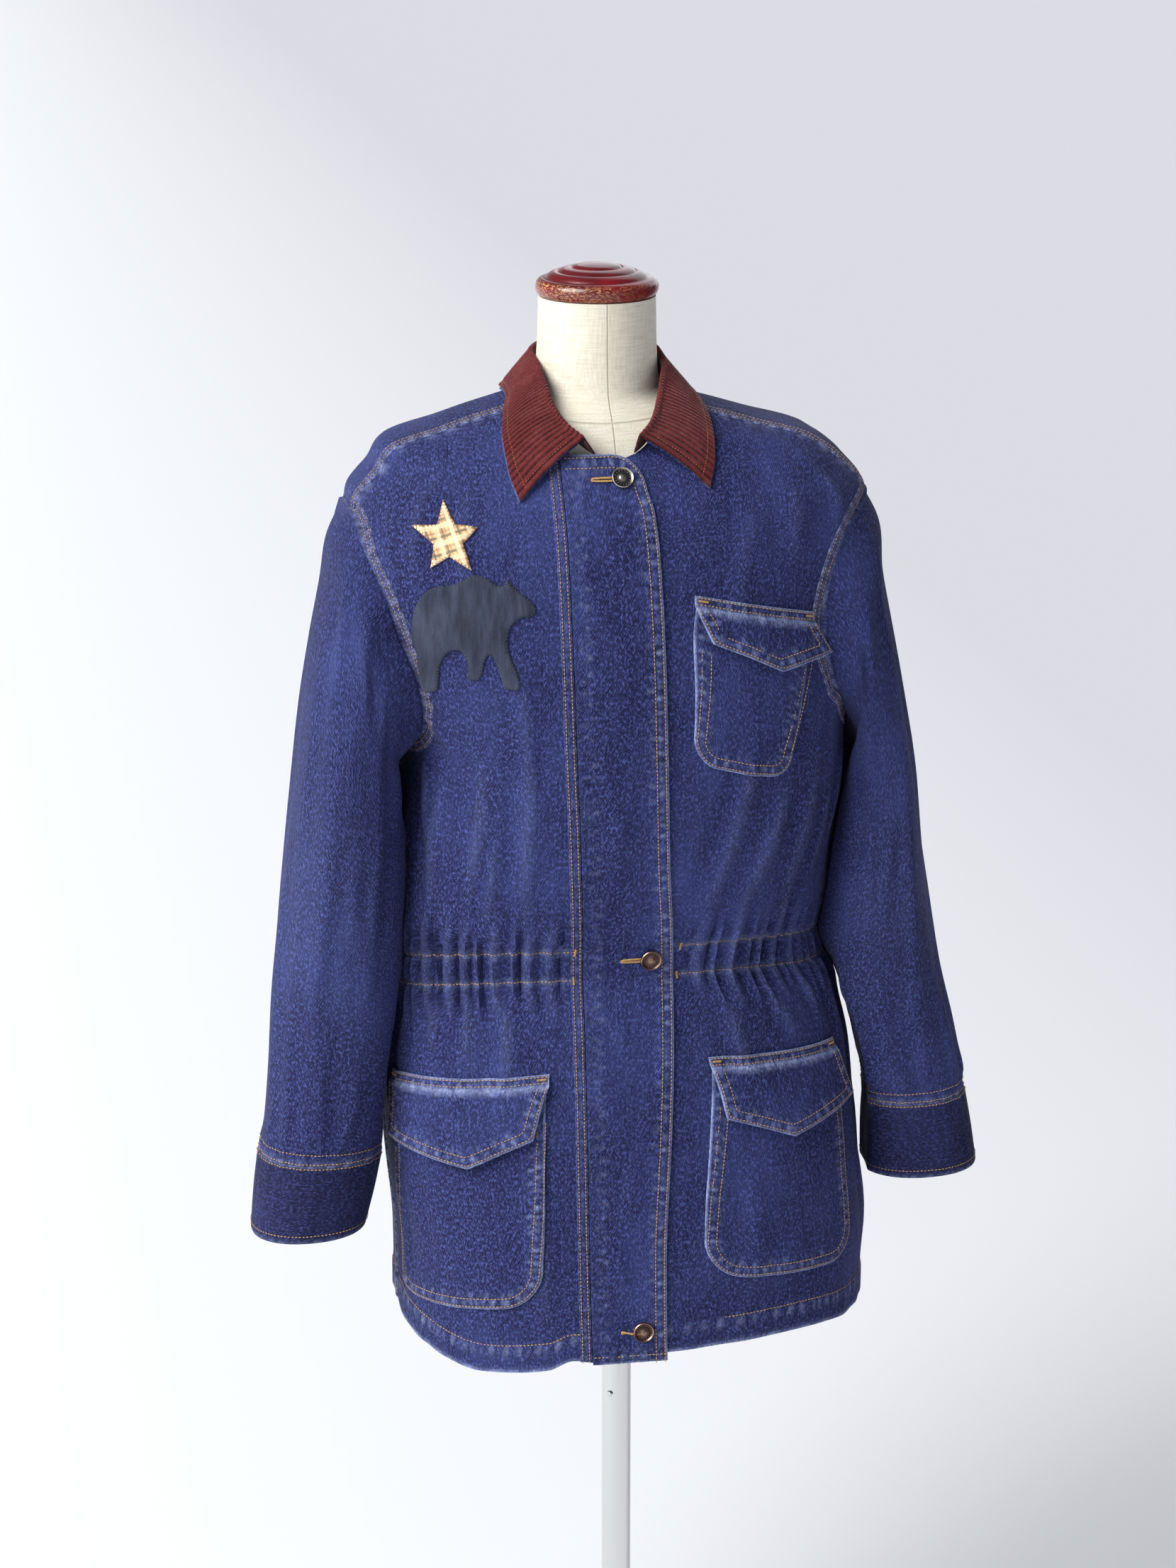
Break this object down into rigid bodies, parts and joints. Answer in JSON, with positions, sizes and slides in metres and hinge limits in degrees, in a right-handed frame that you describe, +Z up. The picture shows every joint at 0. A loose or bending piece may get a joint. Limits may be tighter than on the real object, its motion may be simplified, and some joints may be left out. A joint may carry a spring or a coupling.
{
  "type": "denim jacket on a limbless dress form",
  "caption": "Long-sleeved denim jacket with a corduroy collar, gathered waist, patch pockets and sewn motifs, worn by a limbless dress form on a pole and a round base.",
  "frame": {"origin": "middle of the round base's underside, on the pole's axis", "axes": "+Z up along the pole, -Y the jacket's front, +X the wearer's left"},
  "size_m": [0.6202, 0.35, 1.36],
  "materials": {
    "denim": "indigo cotton twill, matt, lighter where it is worn at seams and folds",
    "corduroy": "brown-red cotton corduroy, soft ribs",
    "plaid": "cream and rust checked cotton, matt",
    "black_cotton": "washed black cotton, matt",
    "linen": "off-white linen stretched over the form, matt",
    "lacquer": "turned wood with dark red gloss lacquer, chipped at the rim",
    "chrome": "bright chrome-plated steel",
    "button_metal": "antiqued grey metal",
    "painted_steel": "off-white painted steel"
  },
  "bodies": {
    "root": {"back": "denim", "base": "painted_steel", "bear_patch": "black_cotton", "button_1": "button_metal", "button_2": "button_metal", "button_3": "button_metal", "chest_flap": "denim", "chest_pocket": "denim", "collar": "corduroy", "cuff_left": "denim", "cuff_right": "denim", "form_torso": "linen", "front_left": "denim", "front_right": "denim", "hip_flap_left": "denim", "hip_flap_right": "denim", "hip_pocket_left": "denim", "hip_pocket_right": "denim", "neck_cap": "lacquer", "placket": "denim", "pole": "chrome", "pole_button": "chrome", "sleeve_left": "denim", "sleeve_right": "denim", "star_patch": "plaid", "undercollar": "denim", "yoke": "denim"}
  },
  "joints": []
}
